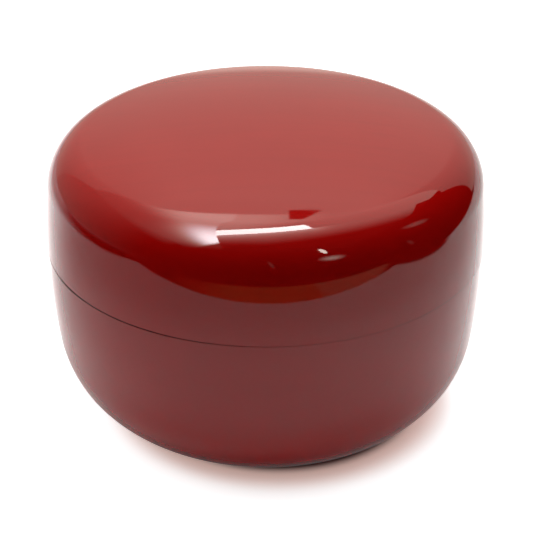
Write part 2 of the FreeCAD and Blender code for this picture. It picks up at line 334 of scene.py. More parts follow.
def redLacquer():
    look = {
        "pigment": colour(0.394, 0.0020, 0.0014),
        "deep": colour(0.370, 0.0018, 0.0012),
        "brushed": colour(0.345, 0.0016, 0.0011),
        "wornAndShaded": colour(0.060, 0.014, 0.009),
        "roughness": 0.030,
        "dull": 0.020,
        "polish": {"scale": 210.0, "detail": 4.0, "roughness": 0.6},
        "polishFade": (0.45, 0.8),
        "cloud": {"scale": 46.0, "detail": 3.0, "roughness": 0.55},
        "cloudFade": (0.35, 0.68),
        "brush": (45.0, 620.0, 260.0),
        "strokes": {"scale": 1.0, "detail": 3.0, "distortion": 0.4},
        "strokeFade": (0.42, 0.80, 0.0, 0.5),
        "strokeHeight": 0.00000006,
        "waves": {"scale": 95.0, "detail": 1.0},
        "waveHeight": 0.0000020,
        "skin": {"scale": 1400.0, "detail": 2.0},
        "skinHeight": 0.00000010,
        "nibScale": 130.0,
        "nibReach": 0.026,
        "nibFade": (0.50, 0.54),
        "nibHeight": 0.0000070,
        "chafe": {"scale": 260.0, "detail": 4.0, "roughness": 0.65},
        "chafeFade": (0.46, 0.62),
        "seamShade": 0.00006,
        "seamUneven": 0.00005,
        "seamSoft": 0.00002,
        "leftShade": (-0.029, -0.037, 0.0, 0.00026),
        "shadeLeftward": (0.012, -0.034, 0.32, 1.0),
        "shadeRightward": (0.015, 0.035, 0.0, 0.4),
        "footWear": (0.00060, 0.00015),
        "footUneven": 0.0005,
        "heelPlace": (0.8, 0.3),
    }
    material = bpy.data.materials.new("redLacquer")
    shader = Shader(material)
    place = shader.node("ShaderNodeTexCoord", output="Object")
    x, y, z = shader.axes(place)
    cloud = shader.noise(place, **look["cloud"])
    pigment = shader.mix(shader.fade(cloud, *look["cloudFade"]), look["deep"], look["pigment"])
    # long faint strokes, left by the brush of the last coat
    strokes = shader.noise(shader.stretched(place, look["brush"]), **look["strokes"])
    pigment = shader.mix(shader.fade(strokes, *look["strokeFade"]), pigment, look["brushed"])
    # where lid and body meet the coat is darkened to its dark ground as painted shade along the seam;
    # along the foot it is rubbed down to that ground as wear
    chafe = shader.noise(place, **look["chafe"])
    seam = caddy["seam"] * mm
    rise = (x * -1.0).larger(0.0) * math.tan(math.radians(lidCoat["tilt"]))
    rim = seam + lidCoat["gap"] * mm + rise
    reach = look["seamShade"] + chafe * look["seamUneven"] + shader.fade(x, *look["leftShade"])
    # painted shade: a dark line just under and over the seam, broken up by the chafe noise
    seamShade = shader.fade(z - rim - lidCoat["edge"] * mm, reach, 0.0)
    seamShade = seamShade * shader.fade(seam - z, reach + look["seamSoft"], look["seamSoft"])
    # the painted seam shade is darkest at the left, where the rim stands off furthest
    seamShade = seamShade * (
        shader.fade(x, *look["shadeLeftward"]) + shader.fade(x, *look["shadeRightward"])
    )
    # only on the heel, because the base inside the foot ring touches nothing
    radius = (x * x + y * y) ** 0.5
    heelFrom, heelTo = [(caddy["footRadius"] - inward) * mm for inward in look["heelPlace"]]
    footWear = shader.fade(z - chafe * look["footUneven"], *look["footWear"])
    footWear = footWear * shader.fade(chafe, *look["chafeFade"]) * shader.fade(radius, heelFrom, heelTo)
    # the dark ground shows through both the painted seam shade and the wear on the heel
    wornAndShaded = seamShade.larger(footWear)
    # a few specks of dust under the skin
    dusty = shader.fade(cloud, *look["nibFade"])
    nib = shader.specks(place, look["nibScale"], look["nibReach"], dusty)
    waves = shader.noise(place, **look["waves"])
    skin = shader.noise(place, **look["skin"])
    height = waves * look["waveHeight"] + skin * look["skinHeight"] + nib * look["nibHeight"]
    height = height + strokes * look["strokeHeight"]
    polish = shader.noise(place, **look["polish"])
    roughness = look["roughness"] + shader.fade(polish, *look["polishFade"]) * look["dull"]
    lacquer = shader.principled(pigment, roughness, height)
    darkGroundAndShade = shader.node("ShaderNodeBsdfDiffuse", None, {"Color": look["wornAndShaded"], "Roughness": 1.0})
    surface = shader.node("ShaderNodeMixShader", None, {0: wornAndShaded, 1: lacquer, 2: darkGroundAndShade})
    shader.node("ShaderNodeOutputMaterial", None, {"Surface": surface})
    return material


def blackLacquer():
    look = {
        "black": colour(0.012, 0.010, 0.010),
        "brown": colour(0.022, 0.015, 0.012),
        "rubbed": colour(0.075, 0.032, 0.017),
        "roughness": 0.09,
        "polish": {"scale": 240.0, "detail": 4.0},
        "uneven": 0.05,
        "dull": 0.16,
        "cloud": {"scale": 60.0, "detail": 3.0},
        "cloudFade": (0.4, 0.7),
        "chafe": {"scale": 340.0, "detail": 4.0, "roughness": 0.65},
        "chafeFade": (0.44, 0.62),
        "lipWear": 0.0007,
        "lipEnd": (0.0006, 0.0003),
        "lipSoft": 0.00004,
        "mouthWear": 0.0005,
        "upright": (1500.0, 1500.0, 70.0),
        "marks": {"scale": 1.0, "detail": 2.0},
        "markFade": (0.55, 0.75),
        "markRise": 0.0010,
        "markPlace": (0.0366, 0.0370),
        "markShare": 0.6,
        "waves": {"scale": 120.0, "detail": 2.0},
        "waveHeight": 0.0000030,
        "nibScale": 150.0,
        "nibReach": 0.030,
        "nibFade": (0.52, 0.58),
        "nibHeight": 0.0000060,
    }
    material = bpy.data.materials.new("blackLacquer")
    shader = Shader(material)
    place = shader.node("ShaderNodeTexCoord", output="Object")
    x, y, z = shader.axes(place)
    radius = (x * x + y * y) ** 0.5
    cloud = shader.noise(place, **look["cloud"])
    pigment = shader.mix(shader.fade(cloud, *look["cloudFade"]), look["black"], look["brown"])
    # the lip's top edges and the lid's mouth are rubbed brown, because they meet as it closes
    chafe = shader.noise(place, **look["chafe"])
    lipTop, seam = caddy["lipTop"] * mm, caddy["seam"] * mm
    between = (caddy["lipRadius"] + caddy["mouthRadius"]) / 2 * mm
    onLip = shader.fade(radius, between + look["lipSoft"], between - look["lipSoft"])
    lipWear = shader.fade(z, lipTop - look["lipWear"], lipTop) * onLip
    lipWear = lipWear * shader.fade(z, *[lipTop + above for above in look["lipEnd"]])
    mouthWear = shader.fade(z - seam, look["mouthWear"], 0.0) * (1.0 - onLip)
    rubbed = lipWear.larger(mouthWear) * shader.fade(chafe, *look["chafeFade"])
    pigment = shader.mix(rubbed, pigment, look["rubbed"])
    # fine upright marks where the lid slides down the lip
    marks = shader.noise(shader.stretched(place, look["upright"]), **look["marks"])
    slid = shader.fade(z, seam, seam + look["markRise"]) * shader.fade(radius, *look["markPlace"])
    slid = slid * shader.fade(marks, *look["markFade"]) * look["markShare"]
    polish = shader.noise(place, **look["polish"])
    roughness = look["roughness"] + polish * look["uneven"] + rubbed.larger(slid) * look["dull"]
    dusty = shader.fade(cloud, *look["nibFade"])
    nib = shader.specks(place, look["nibScale"], look["nibReach"], dusty)
    waves = shader.noise(place, **look["waves"])
    surface = shader.principled(
        pigment, roughness, waves * look["waveHeight"] + nib * look["nibHeight"]
    )
    shader.node("ShaderNodeOutputMaterial", None, {"Surface": surface})
    return material


def turnedWood():
    look = {
        "early": colour(0.40, 0.25, 0.13),
        "late": colour(0.26, 0.14, 0.065),
        "pore": colour(0.10, 0.050, 0.025),
        "stain": colour(0.060, 0.022, 0.013),
        "roughness": 0.42,
        "uneven": 0.15,
        "along": (1.0, 0.12, 1.0),
        "rings": {"scale": 420.0, "detail": 4.0},
        "ringFade": (0.38, 0.62),
        "ringHeight": 0.00002,
        "fine": (2600.0, 380.0, 2600.0),
        "pores": {"scale": 1.0, "detail": 1.0},
        "poreFade": (0.62, 0.72),
        "poreShare": 0.7,
        "poreDepth": 0.00001,
        "bleed": {"scale": 700.0, "detail": 3.0},
        "bleedReach": 0.0004,
        "stainEdge": 0.00045,
        "stainShare": 0.85,
        "turning": 21000.0,
        "turnedHeight": 0.0000015,
    }
    material = bpy.data.materials.new("turnedWood")
    shader = Shader(material)
    place = shader.node("ShaderNodeTexCoord", output="Object")
    x, y = shader.axes(place)[:2]
    radius = (x * x + y * y) ** 0.5
    rings = shader.noise(shader.stretched(place, look["along"]), **look["rings"])
    grain = shader.mix(shader.fade(rings, *look["ringFade"]), look["late"], look["early"])
    # short dark pores along the grain
    pores = shader.noise(shader.stretched(place, look["fine"]), **look["pores"])
    pores = shader.fade(pores, *look["poreFade"])
    grain = shader.mix(pores * look["poreShare"], grain, look["pore"])
    # the lacquer has bled a little into both edges of the foot ring
    outer, inner = caddy["footRadius"] * mm, (caddy["footRadius"] - caddy["ringWidth"]) * mm
    bleed = shader.noise(place, **look["bleed"]) * look["bleedReach"]
    stain = shader.fade(outer - radius - bleed, look["stainEdge"], 0.0).larger(
        shader.fade(radius - inner - bleed, look["stainEdge"], 0.0)
    )
    grain = shader.mix(stain * look["stainShare"], grain, look["stain"])
    # turning marks run round the axis
    turned = shader.node("ShaderNodeMath", {"operation": "SINE"}, {0: radius * look["turning"]})
    height = rings * look["ringHeight"] + turned * look["turnedHeight"] - pores * look["poreDepth"]
    surface = shader.principled(grain, look["roughness"] + rings * look["uneven"], height)
    shader.node("ShaderNodeOutputMaterial", None, {"Surface": surface})
    return material


red = redLacquer()
black = blackLacquer()
wood = turnedWood()


def makeLidCoat():
    seam, coat = caddy["seam"], caddy["redCoat"]
    rim, edge = seam + lidCoat["gap"], lidCoat["edge"]
    sideReach = caddy["lidSideRadius"]
    edgeCentre = outermost(lidSideCentre, sideReach - edge, rim + edge)
    blackBack = caddy["mouthRadius"] + caddy["blackCoat"]
    obj = startOutline("lidRedCoat", 0.0, caddy["crown"])
    swingTo(domeCentre, beyond(domeCentre, shoulderCentre, caddy["domeRadius"]), lidCoat["domeSteps"])
    swingTo(shoulderCentre, beyond(lidSideCentre, shoulderCentre, sideReach), lidCoat["shoulderSteps"])
    swingTo(lidSideCentre, beyond(lidSideCentre, edgeCentre, sideReach), lidCoat["sideSteps"], hold)
    swingTo(edgeCentre, (edgeCentre[0], rim), lidCoat["edgeSteps"])
    runTo(edgeCentre[0] - hold, rim)
    runTo(lidCoat["gapReach"], rim)
    runTo(lidCoat["gapReach"], seam)
    runTo(blackBack, seam)
    runTo(blackBack, seam + coat)
    coreReach = sideReach - coat
    runTo(*outermost(lidSideCentre, coreReach, seam + coat))
    swingTo(lidSideCentre, beyond(lidSideCentre, shoulderCentre, coreReach), lidCoat["backSteps"][2])
    domeBack = beyond(domeCentre, shoulderCentre, caddy["domeRadius"] - coat)
    swingTo(shoulderCentre, domeBack, lidCoat["backSteps"][1])
    swingTo(domeCentre, (0.0, caddy["crown"] - coat), lidCoat["backSteps"][0])
    turnOutline(lidCoat["segments"])
    # the lid has settled unevenly, so the hair's breadth under its rim is tilted
    bpy.ops.object.mode_set(mode="EDIT")
    bpy.ops.mesh.select_all(action="DESELECT")
    mesh = bmesh.from_edit_mesh(obj.data)
    for vert in mesh.verts:
        reach = math.hypot(vert.co.x, vert.co.y)
        vert.select = (
            vert.co.x < 0 and reach > (lidCoat["gapReach"] - lidCoat["pickIn"]) * mm
            and (rim - lidCoat["pickBelow"]) * mm < vert.co.z < (rim + edge + lidCoat["pickAbove"]) * mm
        )
    mesh.select_flush(True)
    bmesh.update_edit_mesh(obj.data)
    bpy.ops.transform.rotate(
        value=math.radians(-lidCoat["tilt"]), orient_axis="Y", orient_type="GLOBAL",
        center_override=(0, 0, rim * mm),
    )
    bpy.ops.object.mode_set(mode="OBJECT")
    dress(obj, red)
    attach(obj, "lid")
    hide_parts("lid_outer_lacquer")


# the lid's black coat, over the ceiling, the corner, the wall and the inner half of the rim
lidLining = {
    "ceilingSteps": 20,
    "cornerSteps": 16,
    "edgeSteps": 6,
    "wallSteps": 4,
    "backSteps": 8,
}


def makeLidLining():
    seam, edge, coat = caddy["seam"], caddy["edgeRound"], caddy["blackCoat"]
    mouth = caddy["mouthRadius"]
    backCeiling = ceilingRadius + coat
    obj = startOutline("lidBlackCoat", 0.0, caddy["ceiling"] + coat)
    swingTo(domeCentre, beyond(domeCentre, lidCornerCentre, backCeiling), lidLining["backSteps"])
    swingTo(lidCornerCentre, (mouth + coat, lidCornerCentre[1]), lidLining["backSteps"])
    runTo(mouth + coat, seam)
    runTo(mouth + edge, seam)
    swingTo((mouth + edge, seam + edge), (mouth, seam + edge), lidLining["edgeSteps"])
    runTo(mouth, seam + edge + longHold)
    runTo(mouth, lidCornerCentre[1] - longHold, lidLining["wallSteps"])
    runTo(mouth, lidCornerCentre[1])
    cornerEnd = beyond(domeCentre, lidCornerCentre, ceilingRadius)
    swingTo(lidCornerCentre, cornerEnd, lidLining["cornerSteps"])
    swingTo(domeCentre, (0.0, caddy["ceiling"]), lidLining["ceilingSteps"])
    turnOutline()
    dress(obj, black)
    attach(obj, "lid")
    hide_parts("lid_inner_lacquer")


# the body's red coat, from the foot ring up to the shoulder that the lid rests on
bodyCoat = {
    "bellySteps": 60,
    "sideSteps": 40,
    "edgeSteps": 8,
    "backSteps": (14, 20),
    "edge": 0.08,
    "segments": 400,
}


def makeBodyCoat():
    seam, edge, coat = caddy["seam"], bodyCoat["edge"], caddy["redCoat"]
    sideReach, bellyReach = caddy["bodySideRadius"], caddy["bellyRadius"]
    edgeCentre = outermost(bodySideCentre, sideReach - edge, seam - edge)
    obj = startOutline("bodyRedCoat", *heel)
    swingTo(bellyCentre, beyond(bodySideCentre, bellyCentre, sideReach), bodyCoat["bellySteps"])
    swingTo(bodySideCentre, beyond(bodySideCentre, edgeCentre, sideReach), bodyCoat["sideSteps"], hold)
    swingTo(edgeCentre, (edgeCentre[0], seam), bodyCoat["edgeSteps"])
    runTo(edgeCentre[0] - hold, seam)
    runTo(caddy["lipRadius"], seam)
    runTo(caddy["lipRadius"], seam - coat)
    coreReach = sideReach - coat
    runTo(*outermost(bodySideCentre, coreReach, seam - coat))
    swingTo(bodySideCentre, beyond(bodySideCentre, bellyCentre, coreReach), bodyCoat["backSteps"][0])
    lowX = caddy["footRadius"]
    lowZ = bellyCentre[1] - math.sqrt((bellyReach - coat) ** 2 - (lowX - bellyCentre[0]) ** 2)
    swingTo(bellyCentre, (lowX, lowZ), bodyCoat["backSteps"][1])
    runTo(*heel)
    turnOutline(bodyCoat["segments"])
    dress(obj, red)
    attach(obj, "caddy_body")
    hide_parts("body_outer_lacquer")


# the body's black coat, up the standing lip, over it and down the bore to the floor
bodyLining = {
    "lipSteps": 8,
    "lipWallSteps": 4,
    "boreSteps": 6,
    "bellySteps": 24,
    "floorSteps": 6,
    "backLipSteps": 4,
    "backBellySteps": 12,
}


def makeBodyLining():
    coat, lipRound = caddy["blackCoat"], caddy["lipRound"]
    lip, bore, top = caddy["lipRadius"], caddy["boreRadius"], caddy["lipTop"]
    foot = caddy["seam"] - caddy["redCoat"]
    roundZ = top - lipRound
    inner = caddy["innerBelly"]
    innerCentre = (bore - inner, caddy["floor"] + inner)
    obj = startOutline("bodyBlackCoat", lip, foot)
    runTo(lip, roundZ - hold, bodyLining["lipWallSteps"])
    runTo(lip, roundZ)
    swingTo((lip - lipRound, roundZ), (lip - lipRound, top), bodyLining["lipSteps"])
    runTo(bore + lipRound, top)
    swingTo((bore + lipRound, roundZ), (bore, roundZ), bodyLining["lipSteps"])
    runTo(bore, roundZ - hold)
    runTo(bore, innerCentre[1] + longHold, bodyLining["boreSteps"])
    runTo(bore, innerCentre[1])
    swingTo(innerCentre, (innerCentre[0], caddy["floor"]), bodyLining["bellySteps"])
    runTo(0.0, caddy["floor"], bodyLining["floorSteps"])
    runTo(0.0, caddy["floor"] - coat)
    runTo(innerCentre[0], caddy["floor"] - coat)
    swingTo(innerCentre, (bore + coat, innerCentre[1]), bodyLining["backBellySteps"])
    runTo(bore + coat, roundZ)
    swingTo((bore + lipRound, roundZ), (bore + lipRound, top - coat), bodyLining["backLipSteps"])
    runTo(lip - lipRound, top - coat)
    swingTo((lip - lipRound, roundZ), (lip - coat, roundZ), bodyLining["backLipSteps"])
    runTo(lip - coat, foot)
    runTo(lip, foot)
    turnOutline()
    dress(obj, black)
    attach(obj, "caddy_body")
    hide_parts("body_inner_lacquer")


# the red coat under the base, a plain disc inside the foot ring
baseCoat = {"steps": 8, "backSteps": 4}


def makeBaseCoat():
    inside = caddy["footRadius"] - caddy["ringWidth"]
    low, high = caddy["recess"], caddy["recess"] + caddy["redCoat"]
    obj = startOutline("baseRedCoat", 0.0, low)
    runTo(inside, low, baseCoat["steps"])
    runTo(inside, high)
    runTo(0.0, high, baseCoat["backSteps"])
    turnOutline()
    dress(obj, red)
    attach(obj, "caddy_body")
    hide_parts("body_base_lacquer")


print("turning the coats")
makeLidCoat()
makeLidLining()
makeBodyCoat()
makeBodyLining()
makeBaseCoat()
for name in ("lid_core", "body_core"):
    dress(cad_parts[name], wood)

print("setting the camera")
lens = {
    "distance": 0.350,
    "elevation": 29.02,
    "target": (0.0, 0.0, 0.027),
    "aim": (0.00013, 0.0, 0.0274),
    "length": 124.1,
    "sensor": 36.0,
    "near": 0.02,
}
deselectAll()
tilt = math.radians(lens["elevation"])
spot = Vector(lens["target"]) + lens["distance"] * Vector((0.0, -math.cos(tilt), math.sin(tilt)))
view = (Vector(lens["aim"]) - spot).to_track_quat("-Z", "Y").to_euler()
bpy.ops.object.camera_add(location=spot, rotation=view)
camera = bpy.context.object
camera.name = "camera"
camera.data.lens = lens["length"]
camera.data.sensor_width = lens["sensor"]
camera.data.clip_start = lens["near"]
bpy.context.scene.camera = camera

print("laying the floor and hanging the sheets")


def onlyReflected(obj):
    obj.visible_camera = False
    obj.visible_diffuse = False
    obj.visible_transmission = False
    obj.visible_volume_scatter = False
    obj.visible_shadow = False


warm, cool = colour(1.0, 0.96, 0.84), colour(0.95, 0.965, 1.0)


def hangSheet(name, place, size, normal, along, paint):
    # a glowing sheet that only the gloss shows; normal and along are the way it faces and its long side
    deselectAll()
    facing = Vector(normal).normalized()
    long = (Vector(along) - facing * facing.dot(Vector(along))).normalized()
    turn = Matrix((long, facing.cross(long), facing)).transposed().to_euler()
    bpy.ops.mesh.primitive_plane_add(size=1.0, location=place, rotation=turn)
    obj = bpy.context.object
    obj.name = obj.data.name = name
    obj.scale = (size[0], size[1], 1.0)
    bpy.ops.object.transform_apply(location=True, rotation=True, scale=True)
    material = bpy.data.materials.new(name)
    shader = Shader(material)
    tint, level = paint(shader, *shader.axes(shader.node("ShaderNodeTexCoord", output="Object")))
    light = shader.node("ShaderNodeEmission", None, {"Color": tint, "Strength": level})
    shader.node("ShaderNodeOutputMaterial", None, {"Surface": light})
    dress(obj, material)
    onlyReflected(obj)


# the camera sees a white floor; the gloss sees a white board on a brown table, and white behind it
floorLook = {
    "size": 12.0,
    "white": 0.90,
    "whiteRange": 0.01,
    "grain": {"scale": 900.0, "detail": 3.0},
    "leftWhite": colour(0.67, 0.67, 0.655),
    "rightWhite": colour(0.98, 0.98, 0.940),
    "whitePlace": (-0.2, 0.2),
    "footShade": (0.024, 0.038, 0.25, 1.0),
    "boardCentre": (-0.0055, 0.070),
    "boardReach": 0.220,
    "boardSoft": 0.0015,
    "boardSide": 0.1545,
    "sideSoft": 0.003,
    "tableReach": 0.184,
    "tableSoft": 0.002,
    "tableEnd": (-0.125, -0.090),
    "tableFront": (-0.095, -0.108),
    "tableLeft": colour(0.60, 0.060, 0.022),
    "tableMiddle": colour(0.85, 0.185, 0.060),
    "tableRight": colour(0.80, 0.330, 0.190),
    "leftPlace": (-0.09, -0.04),
    "rightPlace": (0.062, 0.070),
    "dark": colour(0.010, 0.006, 0.005),
    "rightEdge": ((0.138, -0.010), (0.224, 0.088)),
    "rightSoft": 0.008,
    "leftEdge": ((-0.372, 0.133), (-0.152, -0.007)),
    "leftSoft": (0.035, -0.100),
    "ring": 0.20,
    "ringPlace": (0.041, 0.060),
    "ringEnd": (0.13, 0.08),
    "sideGlow": (-0.06, 0.06, 0.15, 0.38),
    "sideFront": (-0.045, 0.030),
    "sideEnd": (0.12, 0.06),
    "behind": 0.90,
    "behindCentre": 0.035,
    "behindWidth": (0.20, 0.07),
    "behindFront": (0.0, 0.08),
    "behindBack": (0.45, 0.16, 0.7, 1.0),
    "farBack": (0.35, 0.80, 0.08, 0.40),
    "farLeft": 0.35,
    "farLeftPlace": (-0.20, -0.70),
    "farLeftDepth": (-0.45, 0.30),
    "glossTint": colour(1.0, 0.99, 1.0),
    # the pink of the painted bounce light, and where the painted soft shadow round the caddy lies and how
    # far it reaches
    "pink": colour(1.0, 0.70, 0.62),
    "shadePlace": (0.0024, -0.0009),
    "innerShade": (0.0258, 0.0288, 0.45),
    "outerShade": (0.0280, 0.0352, 0.42),
    "distance": (0.060, 0.400, 0.40),
}


def makeFloor():
    look = floorLook
    deselectAll()
    bpy.ops.mesh.primitive_plane_add(size=look["size"], location=(0, 0, 0))
    obj = bpy.context.object
    obj.name = obj.data.name = "floor"
    material = bpy.data.materials.new("paleFloor")
    shader = Shader(material)
    place = shader.node("ShaderNodeTexCoord", output="Object")
    x, y = shader.axes(place)[:2]
    camera = shader.node("ShaderNodeLightPath", output="Is Camera Ray")
    glossy = shader.node("ShaderNodeLightPath", output="Is Glossy Ray")
    radius = (x * x + y * y) ** 0.5
    boardX, boardY = x - look["boardCentre"][0], y - look["boardCentre"][1]
    front = (boardX * boardX + boardY * boardY) ** 0.5
    side = (boardX * boardX) ** 0.5
    board = (
        shader.fade(front, look["boardReach"] + look["boardSoft"], look["boardReach"] - look["boardSoft"])
        * shader.fade(side, look["boardSide"] + look["sideSoft"], look["boardSide"] - look["sideSoft"])
    )
    table = (
        shader.fade(radius, look["tableReach"] + look["tableSoft"], look["tableReach"] - look["tableSoft"])
        * shader.fade(x, *look["tableEnd"]) * shader.fade(y, *look["tableFront"])
    )
    # behind these two lines the white goes on, in front of them the room is dark
    behind = (
        shader.beside(x, y, *look["rightEdge"], look["rightSoft"])
        * shader.fade(shader.away(x, y, *look["leftEdge"]), *look["leftSoft"])
    )
    least, most = look["white"] - look["whiteRange"], look["white"] + look["whiteRange"]
    white = shader.mix(
        shader.noise(place, **look["grain"]), colour(least, least, least), colour(most, most, most)
    )
    # in the gloss the board is brighter at its right side
    glossWhite = shader.mix(shader.fade(x, *look["whitePlace"]), look["leftWhite"], look["rightWhite"])
    # near the caddy's foot the board in the gloss is darkened, a painted contact shadow
    glossWhite = shader.mix(shader.fade(radius, *look["footShade"]), look["dark"], glossWhite)
    white = shader.mix(glossy, white, glossWhite)
    brown = shader.mix(shader.fade(x, *look["leftPlace"]), look["tableLeft"], look["tableMiddle"])
    brown = shader.mix(shader.fade(x, *look["rightPlace"]), brown, look["tableRight"])
    dark = shader.mix(table, look["dark"], brown)
    lit = board.larger(behind).larger(camera)
    paper = shader.node("ShaderNodeBsdfDiffuse", None, {"Color": shader.mix(lit, dark, white)})
    # the camera's white glow, held back close to the caddy as a painted soft shadow, tinted pink as
    # painted red bounce light
    shadeX, shadeY = x - look["shadePlace"][0], y - look["shadePlace"][1]
    near = (shadeX * shadeX + shadeY * shadeY) ** 0.5
    inner, outer, far = look["innerShade"], look["outerShade"], look["distance"]
    glow = (
        shader.fade(near, inner[0], inner[1], 0.0, inner[2])
        + shader.fade(near, outer[0], outer[1], 0.0, outer[2])
        + shader.fade(radius, far[0], far[1], 0.0, far[2])
    )
    tint = shader.mix(shader.fade(near, outer[0], outer[1]), look["pink"], colour(1, 1, 1))
    # in the gloss it is brighter round the caddy and behind it
    ring = shader.fade(radius, *look["ringPlace"]) * shader.fade(radius, *look["ringEnd"]) * look["ring"]
    sides = shader.fade(x, *look["sideGlow"]) * shader.fade(y, *look["sideFront"])
    sides = sides * shader.fade(radius, *look["sideEnd"])
    aside = ((x + look["behindCentre"]) * (x + look["behindCentre"])) ** 0.5
    back = shader.fade(aside, *look["behindWidth"]) * shader.fade(y, *look["behindFront"])
    back = back * shader.fade(y, *look["behindBack"]) * look["behind"]
    back = back + shader.fade(radius, *look["farBack"])
    farLeft = shader.fade(x, *look["farLeftPlace"]) * shader.fade(y, *look["farLeftDepth"])
    farLeft = farLeft * look["farLeft"]
    glossGlow = lit * (ring + sides) + behind * back + (1.0 - lit) * farLeft
    light = shader.node(
        "ShaderNodeEmission", None,
        {"Color": shader.mix(camera, look["glossTint"], tint),
         "Strength": camera * glow + glossy * glossGlow},
    )
    top = shader.node("ShaderNodeAddShader", None, {0: paper, 1: light})
    clear = shader.node("ShaderNodeBsdfTransparent")
    under = shader.node("ShaderNodeNewGeometry", output="Backfacing")
    shader.node(
        "ShaderNodeOutputMaterial", None,
        {"Surface": shader.node("ShaderNodeMixShader", None, {0: under, 1: top, 2: clear})},
    )
    material.cycles.emission_sampling = "NONE"
    dress(obj, material)


# the tall white sheet behind the caddy, brighter in its middle and towards its top
backSheet = {
    "distance": 0.95,
    "left": -0.90,
    "right": 1.21,
    "height": 1.05,
    "level": 0.60,
    "levelCentre": 0.15,
    "levelFall": 0.17,
    "topLevel": 0.72,
    "topRise": 1.5,
    "lowLevel": 0.20,
    "lowPlace": (0.35, 0.0),
    "footLevel": 0.50,
    "footPlace": (0.11, 0.05),
    "footReach": (0.32, 0.22),
    "middle": 0.03,
    "reach": (0.50, 0.22),
    "share": 0.42,
}


def paintBack(shader, x, y, z):
    look = backSheet
    off = x - look["middle"]
    middle = shader.fade((off * off) ** 0.5, *look["reach"], look["share"], 1.0)
    fall = (x - look["levelCentre"]) * (x - look["levelCentre"]) * look["levelFall"]
    low = shader.fade(z, *look["lowPlace"], 0.0, look["lowLevel"]) * (1.0 - middle)
    foot = shader.fade(z, *look["footPlace"]) * shader.fade((off * off) ** 0.5, *look["footReach"])
    top = z.larger(0.0) ** look["topRise"] * middle * look["topLevel"]
    return warm, look["level"] - fall + low + foot * look["footLevel"] + top


# the sheet at the left, dimmer towards the camera's side, with a bright top
leftSheet = {
    "distance": -0.90,
    "front": -0.80,
    "back": 0.95,
    "height": 1.05,
    "level": 0.40,
    "levelPlace": (-0.55, 0.60),
    "topLevel": 0.52,
    "topPlace": (0.70, 1.08),
    "topFront": (-0.75, -0.45),
}


def paintLeft(shader, x, y, z):
    look = leftSheet
    wide = shader.fade(y, *look["levelPlace"], 0.0, look["level"])
    top = shader.fade(z, *look["topPlace"]) * shader.fade(y, *look["topFront"]) * look["topLevel"]
    return warm, wide.larger(top)


# over the caddy: a slanting lamp, a white roof and a thin sheet at the left that the lamp shines through
ceiling = {
    "height": 1.05,
    "left": -1.00,
    "right": 1.00,
    "front": -0.95,
    "back": 0.95,
    "lamp": ((-0.282, -0.139), (0.186, 0.205), (0.125, 0.440), (-0.231, 0.084)),
    "lampSoft": 0.004,
    "lampLevel": 21.3,
    "lampTint": colour(0.96, 1.0, 0.98),
    "haloLevel": 5.0,
    "haloFall": 14.0,
    "haloEnd": 4.0,
    "haloEdge": (-0.02, 0.01),
    "roofFront": -0.25,
    "roofSlant": 0.64,
    "roofFade": (-0.30, 0.30),
    "roofLevel": 1.50,
    "roofLeast": 0.02,
    "wedge": ((0.800, 0.570), (1.010, 0.270), (1.010, 0.715)),
    "wedgeSoft": 0.006,
    "spill": (0.25, 0.02, 0.0, 1.5),
    "spillPlace": (0.05, 0.20),
    "backStep": 0.80,
    "backSoft": 0.004,
    "backCurve": 1.30,
    "backLevel": 1.40,
    "backCentre": 0.1,
    "backFall": 0.9,
    "clamp": ((0.095, 0.772), (0.147, 0.851), (0.060, 0.835), (0.059, 0.767)),
    "clampSoft": 0.003,
    "clampShade": 0.97,
    "sheetEdge": ((-0.341, -0.489), (-0.182, 0.283)),
    "edgeSoft": 0.003,
    "sheetFoot": ((-0.700, -0.820), (-0.330, -0.450)),
    "footSoft": 0.04,
    "sheetLevels": (3.4, 18.5),
    "sheetBright": (0.42, -0.32),
    "sheetShift": (0.15, 0.50, 0.0, 0.06),
    "sheetReach": 0.155,
    "sheetFall": 3.5,
    "sheetFront": (-0.92, -0.35),
    "sheetBase": (-0.95, -0.42, 0.0, 0.50),
    "coolFrom": (2.5, 8.0),
}


